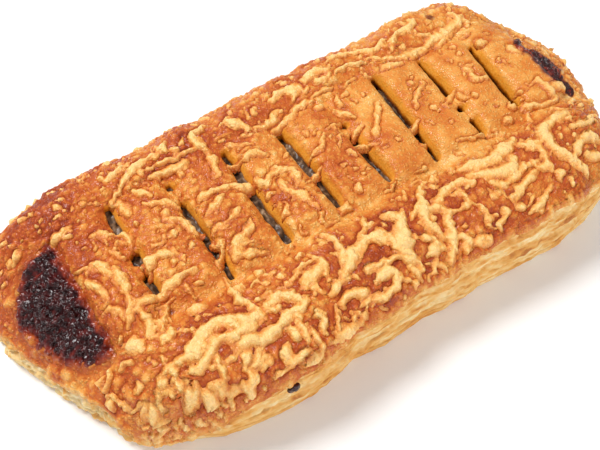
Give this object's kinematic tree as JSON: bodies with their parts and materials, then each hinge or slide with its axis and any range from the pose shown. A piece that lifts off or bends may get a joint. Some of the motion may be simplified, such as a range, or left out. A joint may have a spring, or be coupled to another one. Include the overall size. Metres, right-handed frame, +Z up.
{
  "type": "cheese pastry",
  "caption": "Long baked puff pastry slice with a sealed border, a row of short cuts across its raised lid, a moist filling and melted grated cheese on the crust.",
  "frame": {"origin": "on the resting face, under the middle of the slice's plan", "axes": "+X along the slice towards the thick end, +Y across it towards the far long edge, +Z up through the lid"},
  "size_m": [0.1863, 0.0869, 0.03],
  "materials": {
    "base_pastry": "matte flaky baked dough",
    "filling": "moist, slightly glossy",
    "lid_pastry": "egg-washed crust, satin",
    "cheese": "melted cheese, slightly greasy"
  },
  "bodies": {
    "root": {"base_pastry": "base_pastry", "filling": "filling", "lid_pastry": "lid_pastry", "cheese_01": "cheese", "cheese_02": "cheese", "cheese_03": "cheese", "cheese_04": "cheese", "cheese_05": "cheese", "cheese_06": "cheese", "cheese_07": "cheese", "cheese_08": "cheese", "cheese_09": "cheese", "cheese_10": "cheese", "cheese_11": "cheese", "cheese_12": "cheese", "cheese_13": "cheese", "cheese_14": "cheese", "cheese_15": "cheese", "cheese_16": "cheese", "cheese_17": "cheese", "cheese_18": "cheese", "cheese_19": "cheese", "cheese_20": "cheese", "cheese_21": "cheese", "cheese_22": "cheese", "cheese_23": "cheese", "cheese_24": "cheese", "cheese_25": "cheese", "cheese_26": "cheese", "cheese_27": "cheese"}
  },
  "joints": []
}
